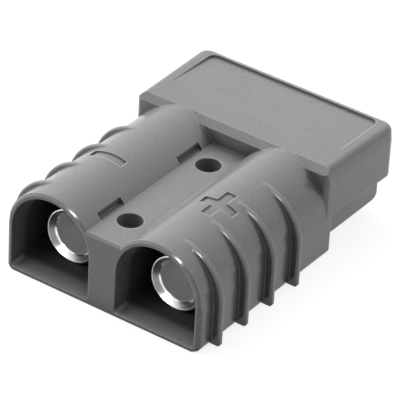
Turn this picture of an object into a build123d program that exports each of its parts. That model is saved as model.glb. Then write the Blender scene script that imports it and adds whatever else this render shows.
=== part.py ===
from build123d import *
from math import atan, cos, degrees, radians, sin
import os

# Two-pole power connector that mates with a copy of itself turned upside down:
# one moulded housing, two tube contacts with flat blades, and a leaf spring under each blade.
# X runs across the poles, Y from the cable end to the mating end, Z up from the underside.
# Places along Y are measured from the cable end, and the whole is centred on Y when written.

# Housing, overall
LENGTH = 79.4
WIDTH = 56.0
HEIGHT = 24.8
WALL = 2.5
MATE_PLANE = 10.9
MATE_GAP = 0.3

# Cable half: two round-topped barrels with D-shaped tunnels, joined by a web
BARREL_LENGTH = 53.2
TUNNEL_RADIUS = 10.3
TUNNEL_CORNER = 1.0
BAND_ANGLE = 16.0
BASE_CORNER = 1.8
REAR_CORNER = 1.3
REAR_EDGE = 0.6
MOUTH_WIDTH = 1.1
MOUTH_DROP = 1.7
MOUTH_DEPTH = 3.3
PARTITION = 3.0
WEB_TOP = 19.6

# Mounting holes down through the web, each in a washer seat that bites into both barrels
HOLE_DIAMETER = 6.4
HOLE_FIRST = 10.4
HOLE_SPACING = 31.0
SEAT_WIDTH = 12.8
SEAT_LENGTH = 9.0
SEAT_HEIGHT = 1.7

# Finger ribs round the outer side of each barrel
RIB_COUNT = 4
RIB_FIRST = 6.0
RIB_PITCH = 10.4
RIB_THICKNESS = 1.7
RIB_PROUD = 2.1
RIB_DROP = 0.3
RIB_TIP = 0.4
RIB_FOOT = 0.8

# Hood over the mating half
HOOD_LAP = 3.1
HOOD_SHOULDER_IN = 0.4
HOOD_SHOULDER_DROP = 3.8
HOOD_TOP_EDGE = 1.8
HOOD_FLARE = 0.7
HOOD_REAR_SLOPE = 2.0
HOOD_REAR_DROP = 1.4
HOOD_FRONT_CORNER = 3.2
HOOD_REAR_CORNER = 1.5
HOOD_SKIRT_CORNER = 3.5
PANEL_SIDE_MARGIN = 3.4
PANEL_FRONT_MARGIN = 2.3
PANEL_LENGTH = 18.2
PANEL_DEPTH = 0.6
PANEL_CORNER = 2.0

# Tongue under the hood, with one open channel for each blade
TONGUE_SETBACK = 0.8
TONGUE_NOSE = 2.8
TONGUE_CORNER = 0.8
CHANNEL_FLOOR = 2.5
CHANNEL_END_WALL = 2.2
CHANNEL_LIP = 2.7
RIDGE_ROOM = 0.6

# Polarity marks sunk into the barrels
MARK_CENTRE = 22.8
MARK_LENGTH = 10.8
MARK_WIDTH = 9.2
MARK_ARM = 2.6
MARK_DEPTH = 0.4
MARK_OUTWARD = 0.8

# Contacts
TUBE_DIAMETER = 14.5
TUBE_BORE = 10.6
TUBE_START = 8.1
TUBE_LENGTH = 28.0
BORE_DEPTH = 26.0
BORE_MOUTH_WIDTH = 1.4
BORE_MOUTH_DEPTH = 1.5
TUBE_EDGE = 0.25
TUBE_SEAT_GAP = 0.05
NECK_LENGTH = 7.0
BLADE_WIDTH = 13.6
BLADE_THICKNESS = 3.5
BLADE_SIDE_GAP = 0.45
BLADE_EDGE = 0.4
BLADE_TIP_GAP = 0.4
RELIEF_DEPTH = 1.2
RELIEF_SLOPE = 1.4
RIDGE_HEIGHT = 0.9
RIDGE_TOP = 0.8
RIDGE_BACK = 3.4
RIDGE_SLOPE = 1.2
TIP_DROP = 1.7
TIP_HOOK = 1.2
TIP_HOOK_LENGTH = 1.1

# Leaf springs
SPRING_WIDTH = 11.4
SPRING_THICKNESS = 0.7
SPRING_FLAT = 4.0
SPRING_TAIL = 1.6
SPRING_CREST_GAP = 0.1
SPRING_END_GAP = 0.3
SPRING_TAB_GAP = 0.3

# Places that follow from the sizes above
BARREL_RADIUS = TUNNEL_RADIUS + WALL
POLE_X = WIDTH / 2 - BARREL_RADIUS
BARREL_Z = HEIGHT - BARREL_RADIUS
TUNNEL_END = BARREL_LENGTH - PARTITION
HOOD_BACK = BARREL_LENGTH - HOOD_LAP
SKIRT_Z = MATE_PLANE + MATE_GAP / 2
TONGUE_TOP = MATE_PLANE - MATE_GAP / 2
TONGUE_BOTTOM = WALL + MATE_GAP
TONGUE_WIDTH = WIDTH - 2 * (WALL + MATE_GAP)
TONGUE_END = LENGTH - TONGUE_SETBACK
ROOF_Z = 2 * MATE_PLANE - TONGUE_BOTTOM + MATE_GAP
CHANNEL_Z = TONGUE_BOTTOM + CHANNEL_FLOOR
CHANNEL_WIDTH = BLADE_WIDTH + 2 * BLADE_SIDE_GAP
CHANNEL_END = TONGUE_END - CHANNEL_END_WALL
TUBE_RADIUS = TUBE_DIAMETER / 2
TUBE_Z = WALL + TUBE_RADIUS + TUBE_SEAT_GAP
TUBE_END = TUBE_START + TUBE_LENGTH
BLADE_START = TUBE_END + NECK_LENGTH
BLADE_BOTTOM = MATE_PLANE - BLADE_THICKNESS
BLADE_TIP = CHANNEL_END - BLADE_TIP_GAP
MATED_LENGTH = LENGTH + BARREL_LENGTH
HOOK_BACK = BLADE_TIP - TIP_HOOK_LENGTH


def run(section, start, end):
    """Carry a section drawn in X and Z from one place on Y to another."""
    plane = Plane(origin=(0, end, 0), x_dir=(1, 0, 0), z_dir=(0, -1, 0))
    return extrude(plane * section, amount=end - start)


def across(profile, width):
    """Carry a side view drawn in Y and Z over a width centred on X."""
    return extrude(Plane.YZ * profile, amount=width / 2, both=True)


def block(width, start, end, bottom, top, x=0.0):
    """A plain block by its width and its ends on Y and Z."""
    size = (width, end - start, top - bottom)
    return Pos(x, (start + end) / 2, (bottom + top) / 2) * Box(*size)


def barrel(side, swell=0.0):
    """The outside of a barrel: a round crown on leaning bands above upright sides."""
    x = side * POLE_X
    radius = BARREL_RADIUS + swell
    band_x = radius * cos(radians(BAND_ANGLE))
    band_z = BARREL_Z + radius * sin(radians(BAND_ANGLE))
    right = [(x + band_x, band_z), (x + radius, SKIRT_Z), (x + radius, 0)]
    left = [(2 * x - place, z) for place, z in reversed(right)]
    crown = ThreePointArc(left[-1], (x, BARREL_Z + radius), right[0])
    section = make_face([*Polyline(*right, *left).edges(), crown])
    return fillet(section.vertices().sort_by(Axis.Y)[:2], BASE_CORNER)


def cable_half():
    """Both barrels and the web between them, with the rims at the cable end broken."""
    web = block(2 * POLE_X, 0, BARREL_LENGTH, 0, WEB_TOP)
    body = chamfer(web.edges().filter_by(Axis.X).sort_by(Axis.Y)[:2].sort_by(Axis.Z)[-1], REAR_EDGE)
    rear = Plane(origin=(0, 0, 0), x_dir=(1, 0, 0), z_dir=(0, -1, 0))
    front = Plane(origin=(0, REAR_EDGE, 0), x_dir=(1, 0, 0), z_dir=(0, -1, 0))
    for side in (-1, 1):
        rim = loft([rear * barrel(side, -REAR_EDGE), front * barrel(side)], ruled=True)
        body = body + rim + run(barrel(side), REAR_EDGE, BARREL_LENGTH)
    plan = Pos(0, BARREL_LENGTH / 2) * Rectangle(WIDTH, BARREL_LENGTH)
    plan = fillet(plan.vertices().sort_by(Axis.Y)[:2], REAR_CORNER)
    return body & extrude(plan, amount=2 * HEIGHT)


def rib(side, place):
    """One finger rib: the barrel's own curve moved outward, so it grows out of the crown."""
    middle_z = BARREL_Z - RIB_DROP
    outer_x = RIB_PROUD + BARREL_RADIUS
    reach = BARREL_RADIUS * sin(radians(45))
    crown = ThreePointArc((RIB_PROUD, middle_z + BARREL_RADIUS), (RIB_PROUD + reach, middle_z + reach),
                          (outer_x, middle_z))
    edges = Polyline((outer_x, middle_z), (outer_x, 0), (RIB_PROUD, 0), (RIB_PROUD, middle_z + BARREL_RADIUS))
    section = make_face([crown, *edges.edges()])
    section = fillet(section.vertices().sort_by(Axis.Y)[:2].sort_by(Axis.X)[-1], RIB_FOOT)
    plate = run(section, place - RIB_THICKNESS / 2, place + RIB_THICKNESS / 2)
    rims = plate.faces().filter_by(Axis.Y).edges().filter_by(lambda edge: edge.center().Z > RIB_TIP)
    plate = chamfer(rims.filter_by(lambda edge: edge.center().X > RIB_PROUD + RIB_TIP), RIB_TIP)
    if side < 0:
        plate = mirror(plate, about=Plane.YZ)
    return Pos(side * POLE_X, 0, 0) * plate


def ribs():
    """The row of ribs on both outer sides."""
    places = [RIB_FIRST + RIB_PITCH * step for step in range(RIB_COUNT)]
    return [rib(side, place) for side in (-1, 1) for place in places]


def arch(radius, foot, corner, side):
    """The D shape of a tunnel: half a circle on upright sides that stand on a flat foot."""
    x = side * POLE_X
    sides = Polyline((x + radius, BARREL_Z), (x + radius, foot), (x - radius, foot), (x - radius, BARREL_Z))
    crown = ThreePointArc((x - radius, BARREL_Z), (x, BARREL_Z + radius), (x + radius, BARREL_Z))
    section = make_face([*sides.edges(), crown])
    return fillet(section.vertices().sort_by(Axis.Y)[:2], corner)


def tunnel(side):
    """The room for one cable and its contact, with a flared mouth."""
    narrow = arch(TUNNEL_RADIUS, WALL, TUNNEL_CORNER, side)
    wide = arch(TUNNEL_RADIUS + MOUTH_WIDTH, WALL - MOUTH_DROP, TUNNEL_CORNER, side)
    outer = Plane(origin=(0, 0, 0), x_dir=(1, 0, 0), z_dir=(0, -1, 0)) * wide
    inner = Plane(origin=(0, MOUTH_DEPTH, 0), x_dir=(1, 0, 0), z_dir=(0, -1, 0)) * narrow
    return run(narrow, 0, TUNNEL_END) + loft([outer, inner])


def hood_plan(back):
    """The outline of the hood seen from above, a little wider at the mating end."""
    slope = HOOD_FLARE / (LENGTH - HOOD_BACK)
    back_x = WIDTH / 2 + slope * (back - HOOD_BACK)
    front_x = WIDTH / 2 + HOOD_FLARE
    plan = make_face(Polyline((-back_x, back), (back_x, back), (front_x, LENGTH), (-front_x, LENGTH),
                              close=True))
    return fillet(plan.vertices().sort_by(Axis.Y)[-2:], HOOD_FRONT_CORNER)


def hood():
    """The roof and side walls over the mating half, rounded along the top and sloped at the rear."""
    shoulder_z = HEIGHT - HOOD_SHOULDER_DROP
    lean = degrees(atan(HOOD_SHOULDER_IN / HOOD_SHOULDER_DROP))
    cap = extrude(hood_plan(HOOD_BACK - WALL), amount=HOOD_SHOULDER_DROP, taper=lean)
    rim = cap.faces().sort_by(Axis.Z)[-1].edges().sort_by(Axis.Y)[1:]
    body = Pos(0, 0, shoulder_z) * fillet(rim, HOOD_TOP_EDGE)
    body = body + Pos(0, 0, SKIRT_Z) * extrude(hood_plan(HOOD_BACK - WALL), amount=shoulder_z - SKIRT_Z)

    outline = [(HOOD_BACK, SKIRT_Z), (HOOD_BACK, HEIGHT - HOOD_REAR_DROP),
               (HOOD_BACK + HOOD_REAR_SLOPE, HEIGHT), (LENGTH, HEIGHT), (LENGTH, SKIRT_Z)]
    side = make_face(Polyline(*outline, close=True))
    skirt_front = side.vertices().sort_by(Axis.X)[-2:].sort_by(Axis.Y)[0]
    body = body & across(fillet(skirt_front, HOOD_SKIRT_CORNER), 2 * WIDTH)
    plan = hood_plan(HOOD_BACK)
    plan = fillet(plan.vertices().sort_by(Axis.Y)[:2], HOOD_REAR_CORNER)
    body = body & extrude(plan, amount=2 * HEIGHT)

    return body - block(WIDTH - 2 * WALL, BARREL_LENGTH, LENGTH + WALL, 0, ROOF_Z)


def bridge():
    """The wall below the back of the hood that closes the valley between the barrels."""
    return block(2 * POLE_X, HOOD_BACK, BARREL_LENGTH, WEB_TOP / 2, HEIGHT - HOOD_REAR_DROP)


def top_panel():
    """The shallow sunk field on the hood, deepest at the front and running out rearwards."""
    front = LENGTH - PANEL_FRONT_MARGIN
    back = front - PANEL_LENGTH
    field = Pos(0, (front + back) / 2) * Rectangle(WIDTH - 2 * PANEL_SIDE_MARGIN, PANEL_LENGTH)
    field = fillet(field.vertices().sort_by(Axis.Y)[-2:], PANEL_CORNER)
    prism = Pos(0, 0, HEIGHT - PANEL_DEPTH) * extrude(field, amount=2 * PANEL_DEPTH)
    wedge = Polyline((back, HEIGHT), (front, HEIGHT - PANEL_DEPTH), (front, HEIGHT + PANEL_DEPTH),
                     (back, HEIGHT + PANEL_DEPTH), close=True)
    return prism & across(make_face(wedge), WIDTH)


def tongue():
    """The lower half of the mating end, rounded at the nose."""
    side = Pos((BARREL_LENGTH + TONGUE_END) / 2, (TONGUE_BOTTOM + TONGUE_TOP) / 2)
    side = side * Rectangle(TONGUE_END - BARREL_LENGTH, TONGUE_TOP - TONGUE_BOTTOM)
    nose = side.vertices().sort_by(Axis.X)[-2:].sort_by(Axis.Y)[0]
    body = across(fillet(nose, TONGUE_NOSE), TONGUE_WIDTH)
    plan = Pos(0, (BARREL_LENGTH + TONGUE_END) / 2) * Rectangle(TONGUE_WIDTH, TONGUE_END - BARREL_LENGTH)
    plan = fillet(plan.vertices().sort_by(Axis.Y)[-2:], TONGUE_CORNER)
    return body & extrude(plan, amount=HEIGHT)


def channel(side):
    """The slot for one blade and its spring, from the tunnel through the partition."""
    x = side * POLE_X
    window_top = MATE_PLANE + RIDGE_HEIGHT + RIDGE_ROOM
    slot = block(CHANNEL_WIDTH, TUNNEL_END - WALL, CHANNEL_END, CHANNEL_Z, window_top, x)
    lip = block(CHANNEL_WIDTH, CHANNEL_END, TONGUE_END + WALL, CHANNEL_Z + CHANNEL_LIP, window_top, x)
    return slot + lip


def washer_seat(place):
    """One mounting hole with the flat recess above the web that clears its washer."""
    hole = Pos(0, place, HEIGHT / 2) * Cylinder(HOLE_DIAMETER / 2, 2 * HEIGHT)
    seat = block(SEAT_WIDTH, place - SEAT_LENGTH / 2, place + SEAT_LENGTH / 2,
                 WEB_TOP, WEB_TOP + SEAT_HEIGHT)
    return hole + seat


def polarity_mark(side):
    """The recess for a plus on the right barrel and for a minus on the left one."""
    x = side * (POLE_X + MARK_OUTWARD)
    plan = Pos(x, MARK_CENTRE) * Rectangle(MARK_WIDTH, MARK_ARM)
    if side > 0:
        plan = plan + Pos(x, MARK_CENTRE) * Rectangle(MARK_ARM, MARK_LENGTH)
    prism = Pos(0, 0, BARREL_Z) * extrude(plan, amount=HEIGHT)
    return prism - run(barrel(side, -MARK_DEPTH), MARK_CENTRE - MARK_LENGTH, MARK_CENTRE + MARK_LENGTH)


def housing():
    """The one-piece moulding."""
    body = cable_half() + hood() + bridge() + tongue()
    for piece in ribs():
        body = body + piece
    for side in (-1, 1):
        body = body - tunnel(side) - channel(side) - polarity_mark(side)
    for step in range(2):
        body = body - washer_seat(HOLE_FIRST + HOLE_SPACING * step)
    return body - top_panel()


def blade():
    """The flat end of a contact: a relief, the mating face, a detent ridge and a hooked tip."""
    tip_relief = MATED_LENGTH - BLADE_TIP
    pad_start = MATED_LENGTH - (BLADE_TIP - RIDGE_BACK) + RIDGE_SLOPE
    ridge_start = BLADE_TIP - RIDGE_BACK
    ridge_end = ridge_start + RIDGE_SLOPE + RIDGE_TOP
    side = Polyline(
        (BLADE_START, BLADE_BOTTOM),
        (BLADE_START, MATE_PLANE),
        (tip_relief - RELIEF_SLOPE - 2 * MATE_GAP, MATE_PLANE),
        (tip_relief - 2 * MATE_GAP, MATE_PLANE - RELIEF_DEPTH),
        (pad_start, MATE_PLANE - RELIEF_DEPTH),
        (pad_start + RELIEF_SLOPE, MATE_PLANE),
        (ridge_start, MATE_PLANE),
        (ridge_start + RIDGE_SLOPE, MATE_PLANE + RIDGE_HEIGHT),
        (ridge_end, MATE_PLANE + RIDGE_HEIGHT),
        (BLADE_TIP, MATE_PLANE - TIP_DROP),
        (BLADE_TIP, BLADE_BOTTOM - TIP_HOOK),
        (HOOK_BACK, BLADE_BOTTOM - TIP_HOOK),
        (HOOK_BACK, BLADE_BOTTOM),
        close=True)
    body = across(make_face(side), BLADE_WIDTH)
    return fillet(body.edges().filter_by(Axis.X).group_by(Axis.Z)[-1], BLADE_EDGE)


def contact(side):
    """One contact: a wire tube, a neck that flattens it, and the blade."""
    tube_end = Plane(origin=(0, TUBE_END, 0), x_dir=(1, 0, 0), z_dir=(0, -1, 0))
    blade_end = Plane(origin=(0, BLADE_START, 0), x_dir=(1, 0, 0), z_dir=(0, -1, 0))
    ring = Pos(0, TUBE_Z) * Circle(TUBE_RADIUS)
    flat = Pos(0, MATE_PLANE - BLADE_THICKNESS / 2) * Rectangle(BLADE_WIDTH, BLADE_THICKNESS)
    tube = run(ring, TUBE_START, TUBE_END)
    bore = run(Pos(0, TUBE_Z) * Circle(TUBE_BORE / 2), TUBE_START, TUBE_START + BORE_DEPTH)
    tube = tube - bore
    rim = tube.faces().sort_by(Axis.Y)[0].edges().sort_by(lambda edge: edge.length)
    tube = chamfer(rim[0], BORE_MOUTH_WIDTH, BORE_MOUTH_DEPTH)
    rim = tube.faces().sort_by(Axis.Y)[0].edges().sort_by(lambda edge: edge.length)
    tube = chamfer(rim[-1], TUBE_EDGE)
    neck = loft([tube_end * ring, blade_end * flat])
    return Pos(side * POLE_X, 0, 0) * (tube + neck + blade())


def spring(side):
    """One leaf spring: a tab hooked behind the partition, an arch up to the blade, a free tail."""
    floor = CHANNEL_Z
    top = floor + SPRING_THICKNESS
    rise = BLADE_BOTTOM - SPRING_CREST_GAP - top
    back = TUNNEL_END
    arch_start = back + SPRING_FLAT
    tail_end = HOOK_BACK - SPRING_END_GAP
    arch_end = tail_end - SPRING_TAIL
    crest = (arch_start + arch_end) / 2
    tab_foot = WALL + SPRING_TAB_GAP
    tab = Polyline((arch_start, top), (back - SPRING_THICKNESS, top), (back - SPRING_THICKNESS, tab_foot),
                   (back, tab_foot), (back, floor), (arch_start, floor))
    under = ThreePointArc((arch_start, floor), (crest, floor + rise), (arch_end, floor))
    tail = Polyline((arch_end, floor), (tail_end, floor), (tail_end, top), (arch_end, top))
    over = ThreePointArc((arch_end, top), (crest, top + rise), (arch_start, top))
    profile = make_face([*tab.edges(), under, *tail.edges(), over])
    return Pos(side * POLE_X, 0, 0) * across(profile, SPRING_WIDTH)


def write(name, body):
    """Write one piece, with the connector centred along its length."""
    body = Pos(0, -LENGTH / 2, 0) * body
    body.label = name
    export_step(body, f"parts/{name}.step")


os.makedirs("parts", exist_ok=True)
write("housing", housing())
for side, pole in ((1, "positive"), (-1, "negative")):
    write(f"contact_{pole}", contact(side))
    write(f"spring_{pole}", spring(side))
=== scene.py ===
import math

import bpy
from bpy.props import FloatProperty, FloatVectorProperty, PointerProperty
from mathutils import Matrix, Vector


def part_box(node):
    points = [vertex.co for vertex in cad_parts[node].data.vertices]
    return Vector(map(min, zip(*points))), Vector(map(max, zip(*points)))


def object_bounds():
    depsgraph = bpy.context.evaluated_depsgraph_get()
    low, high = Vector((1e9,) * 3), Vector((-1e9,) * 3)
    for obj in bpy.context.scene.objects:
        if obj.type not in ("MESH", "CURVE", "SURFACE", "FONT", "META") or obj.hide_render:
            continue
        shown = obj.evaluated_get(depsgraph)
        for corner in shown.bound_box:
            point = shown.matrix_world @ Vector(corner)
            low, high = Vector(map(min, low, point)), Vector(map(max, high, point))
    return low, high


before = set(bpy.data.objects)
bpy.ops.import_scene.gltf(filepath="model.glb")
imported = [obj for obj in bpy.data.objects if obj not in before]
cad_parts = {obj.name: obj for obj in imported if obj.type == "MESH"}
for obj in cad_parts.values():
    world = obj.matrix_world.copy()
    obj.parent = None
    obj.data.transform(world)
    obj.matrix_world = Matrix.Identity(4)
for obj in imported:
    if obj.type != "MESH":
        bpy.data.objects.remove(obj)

bl_info = {
    "name": "Two-pole power connector",
    "version": (1, 0, 0),
    "blender": (4, 5, 0),
    "location": "3D View > Sidebar > Connector",
    "description": "Dresses a two-pole power connector and sets its studio",
    "category": "Object",
}

CAD_BOX = [list(corner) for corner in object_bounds()]
MM = 0.001
REAR = CAD_BOX[0][1]
TOP = CAD_BOX[1][2]
POLES = ("positive", "negative")

# Shader nodes: the size of a cell in the node editor, in which nodes are placed by column and row,
# two ways to run from nought to one, the middle of a noise, and the rays of an edge or corner node
CELL = (220, -260)
WHITE = (1.0, 1.0, 1.0, 1.0)
UP = (0.0, 1.0)
DOWN = (1.0, 0.0)
MIDDLE = (0.3, 0.7)
SAMPLES = 8
VECTOR_MATHS = "ShaderNodeVectorMath"

# Masks: how wide a sharp step is, and the cosine of the softened normal's turn where the line of
# painted highlight along the edges starts and where it is full
MASK_STEP = 0.1 * MM
SHEEN_LINE_TURN = (0.995, 0.93)

# Moulding: its cloudy tone, specks, mould grain and slow swells, and then its tones as shares of
# the base colour, among them a painted highlight along the edges and painted shade in the corners,
# how much of each shows, and its skin
CLOUDS = {"size": 14 * MM, "detail": 4.0}
SPECKS = {"size": 0.8 * MM, "detail": 2.0}
GRAIN = {"detail": 3.0, "roughness": 0.6}
SWELLS = {"size": 9 * MM, "detail": 2.0}
CLOUD_TONES = (0.9, 1.1)
SPECK_TONE = 0.78
SPECK_RANGE = (0.45, 0.75)
SPECK_SHARE = 0.6
EDGE_HIGHLIGHT_TONE = 2.4
EDGE_HIGHLIGHT_SHARE = 0.7
CORNER_SHADE_TONE = 0.3
CORNER_SHADE_RANGE = (0.44, 0.93)
ROUGHNESS_SWING = (-0.05, 0.06)
SKIN_GLOSS = 0.45
MOULDING_IOR = 1.58
GRAIN_BUMP = {"Strength": 0.22, "Distance": 0.05 * MM}
SWELL_BUMP = {"Strength": 0.25, "Distance": 0.12 * MM}

# Cable tunnels: the round top's centre below the highest point, its radius, the length from the
# cable end, the start above the underside, how the painted shade inside them deepens inwards, and
# their skin
TUNNEL_CENTRE_DROP = 12.8 * MM
TUNNEL_RADIUS = 11.4 * MM
TUNNEL_LENGTH = 50.3 * MM
TUNNEL_FLOOR = (0.3 * MM, 0.6 * MM)
TUNNEL_FADE = (0.2 * MM, 5.0 * MM)
TUNNEL_SHADE_TONE = 0.22
TUNNEL_ROUGHNESS = 0.6
TUNNEL_GLOSS = 0.1

# Contacts: the wire bore inside the tube, and the ring of its flared mouth outside the bore's edge.
# Runs are measured from the tube's end, and the foot of the mouth from the tube's axis. The mouth
# is darkened as painted shade, and its foot keeps the bright plating where the highlight falls
TUBE_WALL = 1.9 * MM
BORE_RUN = (1.5 * MM, 26.5 * MM)
FLARE_RING = (0.4 * MM, 1.3 * MM)
FLARE_RUN = (-1.0 * MM, 1.4 * MM)
FLARE_FOOT = (-6.2 * MM, -4.4 * MM)
RING_FADE = 0.2 * MM

# Contacts: stains, worn edges that are also lightened as a painted highlight, and drawing lines of
# the plating, and the duller bore and mouth
STAINS = {"size": 5 * MM, "detail": 4.0}
STAIN_TINT = (0.88, 0.88, 0.87)
STAIN_RANGE = (0.35, 0.6)
WORN_SHEEN_RADIUS = 0.2 * MM
WORN_SHEEN_SILVER = (0.95, 0.95, 0.945, 1.0)
POLISH_SWING = (-0.03, 0.05)
BORE_ROUGHNESS = 0.4
BORE_METALLIC = 0.85
FLARE_ROUGHNESS = 0.3
DRAWN_LINES = {"stretch": 0.06, "size": 0.4 * MM, "detail": 3.0}
DRAWN_BUMP = {"Strength": 0.08, "Distance": 0.01 * MM}

# Leaf springs: heat tint and rolling lines of the strip
TINTS = {"size": 6 * MM, "detail": 3.0}
HEAT_TINT = (1.02, 0.93, 0.8)
STRIP_ROUGHNESS = (0.24, 0.4)
ROLLED_LINES = {"stretch": 0.04, "size": 0.15 * MM, "detail": 5.0}
ROLLED_BUMP = {"Strength": 0.2, "Distance": 0.01 * MM}

# Floor: it lies just below the underside, so that the two don't share one plane. One grey is for
# the light that it throws back, and a shaded grey and a glow make the white that is seen
FLOOR_REACH = 3.0
FLOOR_GAP = 0.02 * MM
FLOOR_BOUNCE = (0.2, 0.2, 0.2, 1.0)
FLOOR_SHADED = (0.32, 0.32, 0.32, 1.0)
FLOOR_GLOW = 0.84

# Light and camera: the middles of the soft lights in the sky, and how fast they fade around them
SKY_SIDES = (
    ("main_light", (-0.77, 0.0, 0.64)),
    ("back_light", (-0.7, 0.7, 0.0)),
    ("fill_light", (0.54, 0.54, 0.64)),
)
SIDE_POWER = 4.0
KEY_PLACE = (0.2, -0.89, 0.77)
KEY_TARGET = (0.0, 0.0, 10 * MM)
KEY_HEIGHT = 100 * MM
CAMERA_TARGET = (0.86 * MM, REAR + 37.37 * MM, 12.08 * MM)
CAMERA_CLIP = (0.05, 20.0)
SENSOR_WIDTH = 36.0


class MouldingLook(bpy.types.PropertyGroup):
    """Colour and finish of the moulded housing."""

    colour: FloatVectorProperty(
        name="Colour",
        description="Grey of the moulding compound",
        subtype="COLOR",
        size=3,
        min=0.0,
        max=1.0,
        default=(0.26, 0.26, 0.262),
    )
    roughness: FloatProperty(
        name="Roughness",
        description="How matte the moulded skin is",
        min=0.0,
        max=1.0,
        default=0.2,
    )
    grain: FloatProperty(
        name="Grain",
        description="Size of the fine texture left by the mould",
        subtype="DISTANCE",
        unit="LENGTH",
        default=0.35 * MM,
    )
    # Reach of the painted shade in the corners: how far from a corner the moulding is darkened.
    corner_shade_reach: FloatProperty(
        name="Corner shade reach",
        description="How far from a corner the moulding looks darker",
        subtype="DISTANCE",
        unit="LENGTH",
        default=4.0 * MM,
    )
    # The rubbed line on every edge is a painted highlight: a lighter colour along the edge.
    edge_radius: FloatProperty(
        name="Edge radius",
        description="Width of the softened and rubbed line on every edge",
        subtype="DISTANCE",
        unit="LENGTH",
        default=0.5 * MM,
    )


class MetalLook(bpy.types.PropertyGroup):
    """Colours of the plated contacts and of the leaf springs."""

    plating: FloatVectorProperty(
        name="Plating",
        description="Colour of the silver plating",
        subtype="COLOR",
        size=3,
        min=0.0,
        max=1.0,
        default=(0.88, 0.88, 0.875),
    )
    bore: FloatVectorProperty(
        name="Bore",
        description="Colour of the dull tinned skin inside the wire bores",
        subtype="COLOR",
        size=3,
        min=0.0,
        max=1.0,
        default=(0.92, 0.92, 0.91),
    )
    # The flare colour is painted shade on the flared mouths of the bores.
    flare: FloatVectorProperty(
        name="Flare",
        description="Colour of the turned skin on the flared mouths of the bores",
        subtype="COLOR",
        size=3,
        min=0.0,
        max=1.0,
        default=(0.26, 0.26, 0.255),
    )
    spring: FloatVectorProperty(
        name="Spring",
        description="Colour of the stainless spring strip",
        subtype="COLOR",
        size=3,
        min=0.0,
        max=1.0,
        default=(0.55, 0.55, 0.54),
    )
    polish: FloatProperty(
        name="Polish roughness",
        description="Roughness of the plated skin",
        min=0.0,
        max=1.0,
        default=0.14,
    )


class StudioSetup(bpy.types.PropertyGroup):
    """Camera and light of the product picture."""

    azimuth: FloatProperty(
        name="Azimuth",
        description="Direction of the camera round the connector",
        subtype="ANGLE",
        unit="ROTATION",
        default=math.radians(34.09),
    )
    elevation: FloatProperty(
        name="Elevation",
        description="Height of the camera above the horizon",
        subtype="ANGLE",
        unit="ROTATION",
        default=math.radians(33.11),
    )
    roll: FloatProperty(
        name="Roll",
        description="Tilt of the camera about its own axis",
        subtype="ANGLE",
        unit="ROTATION",
        default=math.radians(3.22),
    )
    distance: FloatProperty(
        name="Distance",
        description="From the camera to the point that it looks at",
        subtype="DISTANCE",
        unit="LENGTH",
        default=786.9 * MM,
    )
    lens: FloatProperty(
        name="Lens",
        description="Focal length in millimetres on a 36 mm wide sensor",
        default=298.0,
    )
    main_light: FloatProperty(
        name="Main light",
        description="Strength of the broad soft light on the left",
        min=0.0,
        default=3.3,
    )
    back_light: FloatProperty(
        name="Back light",
        description="Strength of the low soft light behind on the left",
        min=0.0,
        default=1.9,
    )
    fill_light: FloatProperty(
        name="Fill light",
        description="Strength of the soft light behind on the right",
        min=0.0,
        default=1.1,
    )
    key_size: FloatProperty(
        name="Key lamp width",
        description="Long side of the narrow lamp that draws the highlights",
        subtype="DISTANCE",
        unit="LENGTH",
        default=300 * MM,
    )
    key: FloatProperty(
        name="Key lamp",
        description="Power of the narrow lamp that draws the highlights, in watts",
        min=0.0,
        default=5.5,
    )


def feed(tree, entry, value):
    """Link an output to an input, or give the input a plain value."""
    if isinstance(value, bpy.types.NodeSocket):
        tree.links.new(value, entry)
    else:
        entry.default_value = value


def fill(tree, node, **inputs):
    """Feed several inputs of a node, each under its own name."""
    for name, value in inputs.items():
        feed(tree, node.inputs[name.replace("_", " ")], value)


def add(tree, kind, cell, **inputs):
    """A shader node in one cell of the editor, with some of its inputs fed."""
    node = tree.nodes.new(kind)
    node.location = [place * size for place, size in zip(cell, CELL)]
    fill(tree, node, **inputs)
    return node


def maths(tree, cell, operation, *values, kind="ShaderNodeMath"):
    """The outcome of one operation on one or two values."""
    node = add(tree, kind, cell)
    node.operation = operation
    for entry, value in zip(node.inputs, values):
        feed(tree, entry, value)
    return node.outputs["Value"]


def chain(tree, cell, operation, values):
    """The sum, product or maximum of several values."""
    column, row = cell
    outcome = values[0]
    for step, value in enumerate(values[1:]):
        outcome = maths(tree, (column + step, row), operation, outcome, value)
    return outcome


def mix(tree, cell, factor, first, second, kind="RGBA"):
    """The first colour or number where the factor is nought, and the second where it is one."""
    node = add(tree, "ShaderNodeMix", cell)
    node.data_type = kind
    fill(tree, node, Factor=factor, A=first, B=second)
    return node.outputs["Result"]


def ramp(tree, cell, value, ends, levels=UP):
    """A range of one value turned into a range of levels."""
    node = add(tree, "ShaderNodeMapRange", cell, Value=value)
    fill(tree, node, From_Min=ends[0], From_Max=ends[1], To_Min=levels[0], To_Max=levels[1])
    return node.outputs["Result"]


def past(tree, cell, value, place):
    """One past a place, nought before it."""
    return ramp(tree, cell, value, (place, place + MASK_STEP))


def within(tree, cell, value, place):
    """One before a place, nought past it."""
    return ramp(tree, cell, value, (place, place + MASK_STEP), DOWN)


def noise(tree, cell, coords, size, detail, roughness=0.5):
    """A noise whose features are about one given length across."""
    node = add(tree, "ShaderNodeTexNoise", cell, Vector=coords)
    fill(tree, node, Scale=1.0 / size, Detail=detail, Roughness=roughness)
    return node.outputs["Fac"]


def long_lines(tree, cell, coords, stretch, size, detail):
    """A noise drawn out into lines along the length of a piece."""
    column, row = cell
    drawn_out = add(tree, "ShaderNodeMapping", cell, Vector=coords, Scale=(1.0, stretch, 1.0))
    return noise(tree, (column + 1, row), drawn_out.outputs["Vector"], size, detail)


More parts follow.
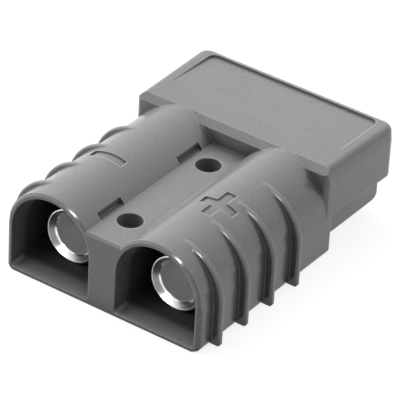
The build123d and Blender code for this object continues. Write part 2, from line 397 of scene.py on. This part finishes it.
def bump(tree, cell, height, normal=None, **inputs):
    """A normal roughened by a height, on top of another normal if there is one."""
    node = add(tree, "ShaderNodeBump", cell, Height=height, **inputs)
    if normal is not None:
        fill(tree, node, Normal=normal)
    return node.outputs["Normal"]


def shade(colour, tone=1.0):
    """A shader colour that is a share of a base colour, as a whole or part by part."""
    shares = tone if isinstance(tone, tuple) else (tone,) * len(colour)
    return (*(part * share for part, share in zip(colour, shares)), 1.0)


def swing(level, around):
    """The two ends of a range around one level."""
    return [level + step for step in around]


def object_coords(tree, cell):
    """The place of a point in the shared frame."""
    return add(tree, "ShaderNodeTexCoord", cell).outputs["Object"]


def edge_mask(tree, cell, radius):
    """A softened normal, and a mask that is one on edges and corners and nought on open faces."""
    column, row = cell
    soft = add(tree, "ShaderNodeBevel", cell, Radius=radius)
    soft.samples = SAMPLES
    sharp = add(tree, "ShaderNodeNewGeometry", (column, row + 1))
    normals = [node.outputs["Normal"] for node in (soft, sharp)]
    turn = maths(tree, (column + 1, row), "DOT_PRODUCT", *normals, kind=VECTOR_MATHS)
    return normals[0], ramp(tree, (column + 2, row), turn, SHEEN_LINE_TURN)


def pole_reach(tree, cell, across, height, centre):
    """How far a point is from the axis of the nearer pole."""
    column, row = cell
    side = maths(tree, cell, "ABSOLUTE", across)
    around = add(tree, "ShaderNodeCombineXYZ", (column + 1, row), X=side, Z=height)
    ends = (around.outputs["Vector"], centre)
    return maths(tree, (column + 2, row), "DISTANCE", *ends, kind=VECTOR_MATHS)


def tunnel_mask(tree, cell, coords):
    """One deep inside the cable tunnels, nought on the rest of the housing."""
    column, row = cell
    low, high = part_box("contact_positive")
    pole = (low[0] + high[0]) / 2
    middle = TOP - TUNNEL_CENTRE_DROP
    parts = add(tree, "ShaderNodeSeparateXYZ", cell, Vector=coords).outputs
    height = maths(tree, (column + 1, row + 1), "MAXIMUM", parts["Z"], middle)
    reach = pole_reach(tree, (column + 1, row), parts["X"], height, (pole, 0.0, middle))
    masks = [
        within(tree, (column + 4, row), reach, TUNNEL_RADIUS),
        ramp(tree, (column + 4, row + 1), parts["Z"], TUNNEL_FLOOR),
        ramp(tree, (column + 4, row + 2), parts["Y"], swing(REAR, TUNNEL_FADE)),
        within(tree, (column + 4, row + 3), parts["Y"], REAR + TUNNEL_LENGTH),
    ]
    return chain(tree, (column + 5, row), "MULTIPLY", masks)


def tube_masks(tree, cell, coords):
    """Masks on the contacts: the wire bores, their flared mouths, and the foot of the mouths."""
    column, row = cell
    low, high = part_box("contact_positive")
    pole, middle = (low[0] + high[0]) / 2, (low[2] + high[2]) / 2
    bore = (high[0] - low[0]) / 2 - TUBE_WALL
    parts = add(tree, "ShaderNodeSeparateXYZ", cell, Vector=coords).outputs
    reach = pole_reach(tree, (column + 1, row), parts["X"], parts["Z"], (pole, 0.0, middle))
    masks = []
    for ring, run in (((0.0, bore), BORE_RUN), (swing(bore, FLARE_RING), FLARE_RUN)):
        start, end = swing(low[1], run)
        sides = [
            ramp(tree, (column + 4, row), reach, (ring[0] - RING_FADE, ring[0])),
            within(tree, (column + 4, row + 1), reach, ring[1]),
            past(tree, (column + 4, row + 2), parts["Y"], start),
            within(tree, (column + 4, row + 3), parts["Y"], end),
        ]
        masks.append(chain(tree, (column + 5, row), "MULTIPLY", sides))
        row += len(sides)
    foot = ramp(tree, (column + 4, row), parts["Z"], swing(middle, FLARE_FOOT), DOWN)
    return (*masks, foot)


def clear_tree(owner):
    """The emptied node tree of a material or world."""
    owner.use_nodes = True
    owner.node_tree.nodes.clear()
    return owner.node_tree


def fresh_material(name):
    """An empty node material with its output and a principled shader."""
    material = bpy.data.materials.new(name)
    tree = clear_tree(material)
    skin = add(tree, "ShaderNodeBsdfPrincipled", (3, 0))
    add(tree, "ShaderNodeOutputMaterial", (5, 0), Surface=skin.outputs["BSDF"])
    return material, tree, skin


def moulded_grey(look):
    """Moulded plastic: cloudy tone, mould grain, a painted highlight along the edges, and painted
    shade in corners and tunnels.
    """
    material, tree, skin = fresh_material("moulded_grey")
    coords = object_coords(tree, (-8, 0))
    cloud = noise(tree, (-6, -2), coords, **CLOUDS)
    speck = noise(tree, (-6, 0), coords, **SPECKS)
    grain = noise(tree, (-6, 2), coords, look.grain, **GRAIN)
    swell = noise(tree, (-6, 4), coords, **SWELLS)
    soft, edge_sheen = edge_mask(tree, (-6, 6), look.edge_radius)
    tunnel = tunnel_mask(tree, (-8, 9), coords)

    base = look.colour
    colour = mix(tree, (-4, -2), cloud, *(shade(base, tone) for tone in CLOUD_TONES))
    few = ramp(tree, (-4, 0), speck, SPECK_RANGE, (0.0, SPECK_SHARE))
    colour = mix(tree, (-3, -2), few, colour, shade(base, SPECK_TONE))
    # Painted highlight: a lighter colour along every edge of the housing.
    painted_edge_highlight = ramp(tree, (-3, 6), edge_sheen, UP, (0.0, EDGE_HIGHLIGHT_SHARE))
    colour = mix(tree, (-2, -2), painted_edge_highlight, colour, shade(base, EDGE_HIGHLIGHT_TONE))
    # Painted shade deep inside the cable tunnels.
    colour = mix(tree, (-1, -2), tunnel, colour, shade(base, TUNNEL_SHADE_TONE))
    # Painted shade: the moulding is darkened where the occlusion node finds surfaces close by, in
    # corners and recesses.
    corners = add(tree, "ShaderNodeAmbientOcclusion", (-2, -4), Distance=look.corner_shade_reach)
    corners.samples = SAMPLES
    unshaded_skin = ramp(tree, (-1, -4), corners.outputs["AO"], CORNER_SHADE_RANGE)
    colour = mix(tree, (0, -2), unshaded_skin, shade(base, CORNER_SHADE_TONE), colour)

    matte = ramp(tree, (-1, 0), cloud, MIDDLE, swing(look.roughness, ROUGHNESS_SWING))
    rough = mix(tree, (0, 0), tunnel, matte, TUNNEL_ROUGHNESS, kind="FLOAT")
    gloss = ramp(tree, (1, 1), tunnel, UP, (SKIN_GLOSS, TUNNEL_GLOSS))
    normal = bump(tree, (1, 3), grain, soft, **GRAIN_BUMP)
    normal = bump(tree, (2, 3), swell, normal, **SWELL_BUMP)
    fill(tree, skin, Base_Color=colour, Roughness=rough, Specular_IOR_Level=gloss, Normal=normal)
    fill(tree, skin, IOR=MOULDING_IOR)
    return material


def plated_silver(look):
    """Bright plating over drawn copper: soft stains, faint drawing lines and a duller wire bore."""
    material, tree, skin = fresh_material("plated_silver")
    coords = object_coords(tree, (-8, 0))
    lines = long_lines(tree, (-6, 2), coords, **DRAWN_LINES)
    stain = noise(tree, (-6, -2), coords, **STAINS)
    soft, edge_sheen = edge_mask(tree, (-6, 4), WORN_SHEEN_RADIUS)
    bore, flare, foot = tube_masks(tree, (-8, 7), coords)

    silver = shade(look.plating)
    clean = ramp(tree, (-4, -2), stain, STAIN_RANGE)
    colour = mix(tree, (-3, -2), clean, shade(look.plating, STAIN_TINT), silver)
    # Worn edges of the plating, lightened also as a painted highlight.
    colour = mix(tree, (-2, -2), edge_sheen, colour, WORN_SHEEN_SILVER)
    colour = mix(tree, (-1, -2), bore, colour, shade(look.bore))
    # Painted shade on the flared mouths; their foot keeps the bright plating where the highlight
    # falls.
    painted_mouth_shade = mix(tree, (-1, -4), foot, shade(look.flare), silver)
    colour = mix(tree, (0, -2), flare, colour, painted_mouth_shade)

    polished = ramp(tree, (-3, 1), lines, MIDDLE, swing(look.polish, POLISH_SWING))
    rough = mix(tree, (-2, 1), bore, polished, BORE_ROUGHNESS, kind="FLOAT")
    rough = mix(tree, (-1, 1), flare, rough, FLARE_ROUGHNESS, kind="FLOAT")
    metal = ramp(tree, (0, 2), bore, UP, (1.0, BORE_METALLIC))
    normal = bump(tree, (1, 4), lines, soft, **DRAWN_BUMP)
    fill(tree, skin, Base_Color=colour, Roughness=rough, Metallic=metal, Normal=normal)
    return material


def spring_strip(look):
    """Cold-rolled stainless strip: rolling lines along its length and a slight heat tint."""
    material, tree, skin = fresh_material("spring_strip")
    coords = object_coords(tree, (-4, 0))
    lines = long_lines(tree, (-3, 1), coords, **ROLLED_LINES)
    tint = noise(tree, (-2, -1), coords, **TINTS)
    colour = mix(tree, (0, -1), tint, shade(look.spring), shade(look.spring, HEAT_TINT))
    rough = ramp(tree, (0, 1), lines, MIDDLE, STRIP_ROUGHNESS)
    normal = bump(tree, (1, 2), lines, **ROLLED_BUMP)
    fill(tree, skin, Base_Color=colour, Roughness=rough, Metallic=1.0, Normal=normal)
    return material


def dress(node_name, material):
    """A CAD piece shows one material everywhere."""
    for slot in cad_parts[node_name].material_slots:
        slot.material = material


class CONNECTOR_OT_housing(bpy.types.Operator):
    """Give the moulded housing its grey plastic"""

    bl_idname = "connector.housing"
    bl_label = "Dress the housing"

    def execute(self, context):
        dress("housing", moulded_grey(context.scene.connector_moulding))
        return {"FINISHED"}


class CONNECTOR_OT_contacts(bpy.types.Operator):
    """Give both contacts their silver plating"""

    bl_idname = "connector.contacts"
    bl_label = "Dress the contacts"

    def execute(self, context):
        material = plated_silver(context.scene.connector_metal)
        for pole in POLES:
            dress(f"contact_{pole}", material)
        return {"FINISHED"}


class CONNECTOR_OT_springs(bpy.types.Operator):
    """Give both leaf springs their stainless strip"""

    bl_idname = "connector.springs"
    bl_label = "Dress the springs"

    def execute(self, context):
        material = spring_strip(context.scene.connector_metal)
        for pole in POLES:
            dress(f"spring_{pole}", material)
        return {"FINISHED"}


def show_background(tree, cell, kind, lighting, seen):
    """The output: one shader lights the object, and another is what camera, gloss and glass see."""
    column, row = cell
    path = add(tree, "ShaderNodeLightPath", (column - 3, row - 2)).outputs
    rays = [path["Is Camera Ray"], path["Is Glossy Ray"], path["Is Transmission Ray"]]
    seeing = chain(tree, (column - 2, row - 2), "MAXIMUM", rays)
    pick = add(tree, "ShaderNodeMixShader", cell, Fac=seeing)
    feed(tree, pick.inputs[1], lighting)
    feed(tree, pick.inputs[2], seen)
    add(tree, kind, (column + 1, row), Surface=pick.outputs["Shader"])


def floor_material():
    """A pale floor that the camera and reflections see as white, and that keeps the shadow."""
    material = bpy.data.materials.new("studio_floor")
    tree = clear_tree(material)
    lit = add(tree, "ShaderNodeBsdfDiffuse", (0, 0), Color=FLOOR_BOUNCE)
    shaded = add(tree, "ShaderNodeBsdfDiffuse", (0, 1), Color=FLOOR_SHADED)
    glow = add(tree, "ShaderNodeEmission", (0, 2), Color=WHITE, Strength=FLOOR_GLOW)
    seen = add(tree, "ShaderNodeAddShader", (1, 1))
    feed(tree, seen.inputs[0], shaded.outputs["BSDF"])
    feed(tree, seen.inputs[1], glow.outputs["Emission"])
    output = "ShaderNodeOutputMaterial"
    show_background(tree, (2, 0), output, lit.outputs["BSDF"], seen.outputs["Shader"])
    return material


def add_floor():
    """A wide flat floor under the connector."""
    signs = ((-1, -1), (1, -1), (1, 1), (-1, 1))
    corners = [(across * FLOOR_REACH, along * FLOOR_REACH, -FLOOR_GAP) for across, along in signs]
    mesh = bpy.data.meshes.new("floor")
    mesh.from_pydata(corners, [], [range(len(corners))])
    mesh.materials.append(floor_material())
    floor = bpy.data.objects.new("floor", mesh)
    bpy.context.scene.collection.objects.link(floor)


def soft_side(tree, cell, coords, side, strength):
    """The light of one soft part of the sky, strongest in its middle and gone at a right angle."""
    column, row = cell
    middle = Vector(side).normalized()
    facing = maths(tree, cell, "DOT_PRODUCT", coords, middle, kind=VECTOR_MATHS)
    lobe = maths(tree, (column + 1, row), "MAXIMUM", facing, 0.0)
    soft = maths(tree, (column + 2, row), "POWER", lobe, SIDE_POWER)
    return maths(tree, (column + 3, row), "MULTIPLY", soft, strength)


def set_world(studio):
    """Soft light from three sides of the sky, with white behind and in every gloss."""
    world = bpy.data.worlds.new("studio")
    bpy.context.scene.world = world
    tree = clear_tree(world)
    coords = add(tree, "ShaderNodeTexCoord", (-6, 0)).outputs["Generated"]
    lights = [
        soft_side(tree, (-5, row), coords, side, getattr(studio, light))
        for row, (light, side) in enumerate(SKY_SIDES)
    ]
    level = chain(tree, (-1, 0), "ADD", lights)
    lit = add(tree, "ShaderNodeBackground", (1, 0), Color=WHITE, Strength=level)
    white = add(tree, "ShaderNodeBackground", (1, 1), Color=WHITE, Strength=1.0)
    output = "ShaderNodeOutputWorld"
    show_background(tree, (2, 0), output, lit.outputs["Background"], white.outputs["Background"])


def place_thing(name, data, place, target, roll=0.0):
    """A lamp or camera at one place, turned to look at another."""
    thing = bpy.data.objects.new(name, data)
    bpy.context.scene.collection.objects.link(thing)
    thing.location = place
    back = (thing.location - Vector(target)).normalized()
    right = Vector((0, 0, 1)).cross(back).normalized()
    up = back.cross(right)
    turned_right = math.cos(roll) * right + math.sin(roll) * up
    turned_up = math.cos(roll) * up - math.sin(roll) * right
    turn = Matrix((turned_right, turned_up, back)).transposed()
    thing.rotation_euler = turn.to_euler()
    return thing


def add_key_lamp(studio):
    """A narrow lamp that is seen in gloss alone, where it draws the highlights."""
    data = bpy.data.lights.new("key_lamp", "AREA")
    data.energy = studio.key
    data.shape = "RECTANGLE"
    data.size = studio.key_size
    data.size_y = KEY_HEIGHT
    lamp = place_thing("key_lamp", data, KEY_PLACE, KEY_TARGET)
    lamp.visible_diffuse = False


def add_camera(studio):
    """The camera at the picture's own angle."""
    data = bpy.data.cameras.new("camera")
    data.sensor_width = SENSOR_WIDTH
    data.lens = studio.lens
    data.clip_start, data.clip_end = CAMERA_CLIP
    level = math.cos(studio.elevation)
    away = Vector((
        math.sin(studio.azimuth) * level,
        -math.cos(studio.azimuth) * level,
        math.sin(studio.elevation),
    ))
    place = Vector(CAMERA_TARGET) + away * studio.distance
    camera = place_thing("camera", data, place, CAMERA_TARGET, studio.roll)
    bpy.context.scene.camera = camera


class CONNECTOR_OT_stage(bpy.types.Operator):
    """Set the pale floor, the soft light and the camera"""

    bl_idname = "connector.stage"
    bl_label = "Set the stage"

    def execute(self, context):
        studio = context.scene.connector_studio
        context.scene.view_settings.view_transform = "Standard"
        add_floor()
        set_world(studio)
        add_key_lamp(studio)
        add_camera(studio)
        return {"FINISHED"}


class CONNECTOR_PT_panel(bpy.types.Panel):
    """Lists the steps and the values that they use"""

    bl_label = "Power connector"
    bl_idname = "CONNECTOR_PT_panel"
    bl_space_type = "VIEW_3D"
    bl_region_type = "UI"
    bl_category = "Connector"

    def draw(self, context):
        layout = self.layout
        for name in GROUPS:
            group = getattr(context.scene, name)
            box = layout.box()
            for value in group.__annotations__:
                box.prop(group, value)
        for step in STEPS:
            layout.operator(step.bl_idname)


STEPS = (
    CONNECTOR_OT_housing,
    CONNECTOR_OT_contacts,
    CONNECTOR_OT_springs,
    CONNECTOR_OT_stage,
)
GROUPS = {
    "connector_moulding": MouldingLook,
    "connector_metal": MetalLook,
    "connector_studio": StudioSetup,
}


def register():
    """Make the values, the steps and the panel known to Blender."""
    for name, group in GROUPS.items():
        bpy.utils.register_class(group)
        setattr(bpy.types.Scene, name, PointerProperty(type=group))
    for item in (*STEPS, CONNECTOR_PT_panel):
        bpy.utils.register_class(item)


def unregister():
    """Take them away again, last ones first."""
    for item in reversed((*STEPS, CONNECTOR_PT_panel)):
        bpy.utils.unregister_class(item)
    for name, group in reversed(list(GROUPS.items())):
        delattr(bpy.types.Scene, name)
        bpy.utils.unregister_class(group)


def main():
    """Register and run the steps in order."""
    register()
    bpy.ops.connector.housing()
    bpy.ops.connector.contacts()
    bpy.ops.connector.springs()
    bpy.ops.connector.stage()


if __name__ == "__main__":
    main()
